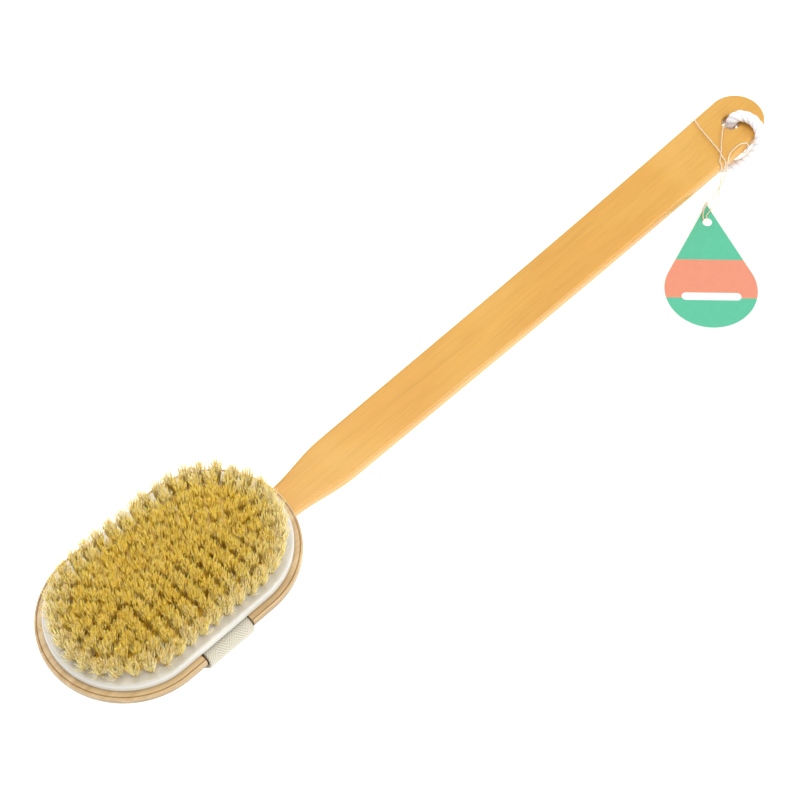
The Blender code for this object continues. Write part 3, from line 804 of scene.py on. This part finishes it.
def twill(u, v):
    """Height of the webbing's twill from 0 to 1: slanting ribs that turn back every chevron."""
    rib, chevron, pick = 0.00135, 0.0050, 0.00075
    fold = abs((u / chevron) % 2.0 - 1.0) * chevron
    wale_level = 0.5 + 0.5 * math.cos(2 * math.pi * (v + 1.1 * fold) / rib)
    pick_level = 0.5 + 0.5 * math.cos(2 * math.pi * u / pick)
    return 0.78 * wale_level + 0.22 * pick_level


def strap_line():
    """Middle line of the strap: clamped under the plate at both ends, round the sides and under the back."""
    half_path = [(0.0215, STRAP_END_Z), (0.0290, STRAP_END_Z), (0.0345, STRAP_END_Z - 0.0001),
                 (0.0365, 0.0213), (0.0373, 0.0193), (0.0370, 0.0168), (0.0354, 0.0138), (0.0326, 0.0102),
                 (0.0288, 0.0064), (0.0243, 0.0031), (0.0200, 0.0012), (0.0160, 0.00075), (0.0080, 0.00075)]
    other_half = [(-y, z) for y, z in reversed(half_path)]
    return smooth_path([(0.0, y, z) for y, z in half_path + [(0.0, 0.00075)] + other_half], 0.00030)


def add_strap(material):
    """Herringbone webbing, woven in relief."""
    line = strap_line()
    columns = 84
    half_width, half_thick = STRAP_WIDTH / 2, STRAP_THICKNESS / 2 - 0.00008
    relief, edge_width = 0.00016, 0.0007
    verts, depths, rings = [], [], []
    distance = 0.0
    for i, point in enumerate(line):
        ahead = path_direction(line, i)
        normal = Vector((0.0, -ahead.z, ahead.y)).normalized()
        if i:
            distance += (point - line[i - 1]).length
        ring = []
        for face in (-1, 1):
            for column in range(columns + 1):
                share = column / columns if face < 0 else 1 - column / columns
                u = (2 * share - 1) * half_width
                edge = max(0.0, (abs(u) - (half_width - edge_width)) / edge_width)
                level = twill(u + half_width, distance) * (1 - 0.5 * edge)
                thick = half_thick * math.sqrt(max(0.0, 1 - 0.8 * edge ** 2)) - relief / 2 + relief * level
                ring.append(len(verts))
                verts.append(Vector((STRAP_X + u, point.y, point.z)) + normal * (face * thick))
                depths.append(level)
        rings.append(ring)
    count = len(rings[0])
    faces = [(a[k], a[(k + 1) % count], b[(k + 1) % count], b[k])
             for a, b in zip(rings, rings[1:]) for k in range(count)]
    for ring, turned in ((rings[0], True), (rings[-1], False)):
        quads = [(ring[k], ring[k + 1], ring[count - 2 - k], ring[count - 1 - k]) for k in range(columns)]
        faces += [tuple(reversed(quad)) for quad in quads] if turned else quads
    mesh = bpy.data.meshes.new("webbing_strap")
    mesh.from_pydata(verts, [], faces)
    set_attribute(mesh, "depth", depths)
    mesh.validate()
    mesh.shade_smooth()
    strap = object_from("webbing_strap", mesh, material)
    settle(strap, "head", "hand_strap")
    round(path_length(line), 4)


# ---- handle ----
def handle_rise(x):
    """How far the bar has curved up at x."""
    share = max(0.0, (x - CURVE_START_X) / (TIP_X - CURVE_START_X))
    return (handle_high.z - HANDLE_TOP_Z) * share ** 2


def handle_side():
    """Plan of one side of the handle, from the tongue by the neck and the flared grip to the round tip."""
    side = [Vector((TONGUE_START_X, 0.7 * NECK_HALF_WIDTH)),
            Vector((TONGUE_START_X + 0.002, NECK_HALF_WIDTH))]
    steps = 30
    for step in range(steps + 1):
        t = step / steps
        widening = (GRIP_HALF_WIDTH - NECK_HALF_WIDTH) * (1 - math.cos(math.pi * t)) / 2
        side.append(Vector((NECK_START_X + (NECK_END_X - NECK_START_X) * t, NECK_HALF_WIDTH + widening)))
    centre_x = TIP_X - TIP_RADIUS
    steps = 60
    for step in range(1, steps):
        t = step / steps
        side.append(Vector((NECK_END_X + (centre_x - NECK_END_X) * t,
                            GRIP_HALF_WIDTH + (TIP_RADIUS - GRIP_HALF_WIDTH) * t)))
    steps = 40
    for step in range(steps):
        angle = math.pi / 2 * (1 - step / steps)
        side.append(Vector((centre_x + TIP_RADIUS * math.cos(angle), TIP_RADIUS * math.sin(angle))))
    return side


def inward_normals(outline):
    """Unit vector into an anticlockwise outline at each of its points."""
    normals = []
    for i, point in enumerate(outline):
        after = outline[(i + 1) % len(outline)]
        ahead = (after - point).normalized() + (point - outline[i - 1]).normalized()
        normals.append(Vector((-ahead.y, ahead.x)).normalized())
    return normals


def add_handle(material):
    side = handle_side()
    outline = [Vector((p.x, -p.y)) for p in side] + [Vector((TIP_X, 0.0))] + list(reversed(side))
    inward = inward_normals(outline)
    steps = 6
    angles = [math.pi / 2 * step / steps for step in range(steps + 1)]
    rounding = [(HANDLE_EDGE_ROUND * (1 - math.sin(angle)), HANDLE_EDGE_ROUND * (1 - math.cos(angle)))
                for angle in angles]
    face_inset = HANDLE_EDGE_ROUND + 0.0004
    section = [(face_inset, HANDLE_BOTTOM_Z)]
    section += [(inset, HANDLE_BOTTOM_Z + rise) for inset, rise in rounding]
    section += [(inset, HANDLE_TOP_Z - rise) for inset, rise in reversed(rounding)]
    section.append((face_inset, HANDLE_TOP_Z))
    bm = bmesh.new()
    loops = []
    for inset, z in section:
        plan = [point + normal * inset for point, normal in zip(outline, inward)]
        loops.append([bm.verts.new((p.x, p.y, z + handle_rise(p.x))) for p in plan])
    skin(bm, loops)
    # The two flat faces are rows of quads across the bar, so that they follow its curve.
    last = len(outline) - 1
    middle = len(side)
    for loop in (loops[0], loops[-1]):
        for i in range(middle - 1):
            bm.faces.new((loop[i], loop[i + 1], loop[last - i - 1], loop[last - i]))
        bm.faces.new((loop[middle - 1], loop[middle], loop[middle + 1]))
    bar = object_from("wooden_handle", mesh_from("wooden_handle", bm), material)

    hole = bmesh.new()
    flare = 0.0006
    low, high = HANDLE_BOTTOM_Z + handle_rise(HOLE_X), HANDLE_TOP_Z + handle_rise(HOLE_X)
    profile = [(HOLE_RADIUS + 2 * flare, low - flare), (HOLE_RADIUS + 0.4 * flare, low + 0.3 * flare),
               (HOLE_RADIUS, low + flare), (HOLE_RADIUS, high - flare),
               (HOLE_RADIUS + 0.4 * flare, high - 0.3 * flare), (HOLE_RADIUS + 2 * flare, high + flare)]
    add_turned(hole, (HOLE_X, 0.0), profile, 56)
    carve(bar, hole)
    smooth(bar, 32)
    settle(bar, "handle", "handle")


# ---- hanging cord, thread and tag ----
def rope_section(distance, diameter):
    """Outline of three laid strands at a distance along the rope, and how far out each point of it lies."""
    turn = 2 * math.pi * distance / ROPE_PITCH
    points, levels = [], []
    for k in range(ROPE_SIDES):
        angle = 2 * math.pi * k / ROPE_SIDES
        lobe = abs(math.cos(1.5 * (angle - turn)))
        yarn = 0.5 + 0.5 * math.cos(13.5 * (angle - turn) + 9.0 * turn)
        radius = diameter / 2 * (0.84 + 0.13 * lobe ** 0.75 + 0.03 * yarn)
        points.append((radius * math.cos(angle), radius * math.sin(angle)))
        levels.append(lobe)
    return points, levels


def add_rope_piece(name, paths, diameter, material, cad_node):
    """Three-strand laid rope along each path, as one piece."""
    verts, depths, faces = [], [], []
    for path in paths:
        start = len(verts)
        for point, distance, side, lift in path_frames(path):
            section, levels = rope_section(distance, diameter)
            verts += [point + side * a + lift * b for a, b in section]
            depths += levels
        for first in range(start, len(verts) - ROPE_SIDES, ROPE_SIDES):
            for k in range(ROPE_SIDES):
                n = (k + 1) % ROPE_SIDES
                faces.append((first + k, first + n, first + ROPE_SIDES + n, first + ROPE_SIDES + k))
        faces.append(tuple(start + k for k in reversed(range(ROPE_SIDES))))
        faces.append(tuple(range(len(verts) - ROPE_SIDES, len(verts))))
    mesh = bpy.data.meshes.new(name)
    mesh.from_pydata(verts, [], faces)
    set_attribute(mesh, "depth", depths)
    mesh.shade_smooth()
    rope = object_from(name, mesh, material)
    settle(rope, "handle", cad_node)
    return rope


def add_rope(material):
    """The cord: out of the hole, over the near edge of the tip and back under the handle to its knot."""
    x = HOLE_X
    knot_x, knot_y, knot_z = x - 0.0002, 0.0004, 0.00385
    knot_size, knot_lift = 0.00138, 0.0017
    loop = []
    steps = 96
    for step in range(steps + 1):
        t = 2 * math.pi * step / steps
        loop.append(Vector((knot_x + knot_size * (math.sin(t) + 2 * math.sin(2 * t)),
                            knot_y + knot_size * (math.cos(t) - 2 * math.cos(2 * t)),
                            knot_z - knot_lift * math.sin(3 * t))))
    tail = [(knot_x + 0.0020, knot_y + 0.0020, 0.0030), (knot_x + 0.0056, knot_y + 0.0042, 0.0024),
            (knot_x + 0.0092, knot_y + 0.0062, 0.0022)]
    tail = smooth_path(tail, 0.0004)
    knot = add_rope_piece("cord_knot", [loop, tail], ROPE_DIAMETER * 0.90, material, "hanging_cord_knot")

    route = [(x + 0.0008, 0.0002, 0.0081), (x + 0.0008, 0.0003, 0.0120), (x + 0.0009, 0.0003, 0.0162),
             (x + 0.0016, -0.0002, 0.0194), (x + 0.0031, -0.0019, 0.0215), (x + 0.0047, -0.0050, 0.0221),
             (x + 0.0051, -0.0095, 0.0222), (x + 0.0034, -0.0143, 0.0209), (x + 0.0009, -0.0166, 0.0168),
             (x - 0.0025, -0.0168, 0.0122), (x - 0.0064, -0.0152, 0.0084), (x - 0.0104, -0.0118, 0.0058),
             (x - 0.0132, -0.0084, 0.0042), (x - 0.0134, -0.0048, 0.0034), (x - 0.0108, -0.0024, 0.0034),
             (x - 0.0078, -0.0016, 0.0036)]
    line = smooth_path(route, 0.0004)
    rope = add_rope_piece("cord_loop", [line], ROPE_DIAMETER, material, "hanging_cord")
    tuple(route[0])
    round(path_length(line), 4)


def over(x, y, lift=0.0007):
    """Point a little above the handle, at x from the middle of the head."""
    return (HEAD_X + x, y, HANDLE_TOP_Z + handle_rise(HEAD_X + x) + lift)


def under(x, y):
    """Point a little below the handle, at x from the middle of the head."""
    return (HEAD_X + x, y, HANDLE_BOTTOM_Z + handle_rise(HEAD_X + x) - 0.0008)


def add_thread(material):
    """The thread: from the hole over the near edge, down through the tag, back up and round the handle."""
    x = HEAD_X
    eye = TAG_TIP + TAG_AHEAD * TAG_HOLE_TO_TIP
    route = [(HOLE_X - 0.0032, 0.0008, 0.0140), (HOLE_X - 0.0032, 0.0008, 0.0184),
             over(0.3361, -0.0002, 0.0009), over(0.3310, -0.0038), over(0.3250, -0.0088),
             over(0.3209, -0.0117), (x + 0.3204, -0.0131, 0.0173),
             (x + 0.3197, -0.0142, 0.0130), (x + 0.3165, -0.0168, 0.0036),
             (x + 0.3115, -0.0188, 0.0011), (eye.x + 0.0022, eye.y + 0.0024, 0.0012),
             (eye.x - 0.0002, eye.y - 0.0002, 0.0013), (eye.x - 0.0004, eye.y + 0.0022, 0.0011),
             (x + 0.3080, -0.0165, 0.0013), (x + 0.3160, -0.0158, 0.0042), (x + 0.3222, -0.0150, 0.0105),
             (x + 0.3240, -0.0139, 0.0160), over(0.3262, -0.0124, 0.0006), over(0.3300, -0.0116),
             over(0.3345, -0.0118), (x + 0.3374, -0.0131, 0.0181), (x + 0.3379, -0.0139, 0.0158),
             (x + 0.3376, -0.0136, 0.0125), (x + 0.3370, -0.0124, 0.0111), under(0.3355, -0.0070),
             under(0.3318, 0.0105), (x + 0.3315, 0.0131, 0.0115), (x + 0.3310, 0.0140, 0.0145),
             (x + 0.3306, 0.0134, 0.0178), over(0.3302, 0.0117, 0.0010), over(0.3282, 0.0060, 0.0012),
             over(0.3252, -0.0060, 0.0016), over(0.3234, -0.0112, 0.0012), (x + 0.3230, -0.0131, 0.0176),
             (x + 0.3226, -0.0139, 0.0150), (x + 0.3224, -0.0136, 0.0119), (x + 0.3223, -0.0122, 0.0104),
             under(0.3225, -0.0085)]
    line = smooth_path(route, 0.0006)
    curve = bpy.data.curves.new("tag_string", "CURVE")
    curve.dimensions = "3D"
    curve.bevel_depth = THREAD_DIAMETER / 2
    curve.bevel_resolution = 3
    curve.use_fill_caps = True
    spline = curve.splines.new("POLY")
    spline.points.add(len(line) - 1)
    for target, point in zip(spline.points, line):
        target.co = (*point, 1.0)
    thread = object_from("tag_string", curve, material)
    settle(thread, "handle", "tag_thread")
    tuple(route[0])
    round(path_length(line), 4)


def paint(names, material):
    """Give a material to CAD nodes that are kept as they are."""
    for name in names:
        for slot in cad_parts[name].material_slots:
            slot.material = material


add_camera()
add_rope(cotton_rope())
add_thread(clear_nylon())
add_studio()
wooden_head = add_head(tan_wood())
add_plate(white_plastic())
bristle_material = bristle_fibre()
for ring_number in range(TUFT_RING_COUNT):
    add_bristles(ring_number, bristle_material)
add_strap(cotton_webbing())
add_handle(honey_wood())
fasteners = ["plate_nail_%d" % i for i in range(1, 5)] + ["strap_tack_%d" % i for i in range(1, 5)]
paint(fasteners, plain_steel())
paint(["swing_tag"], printed_card())
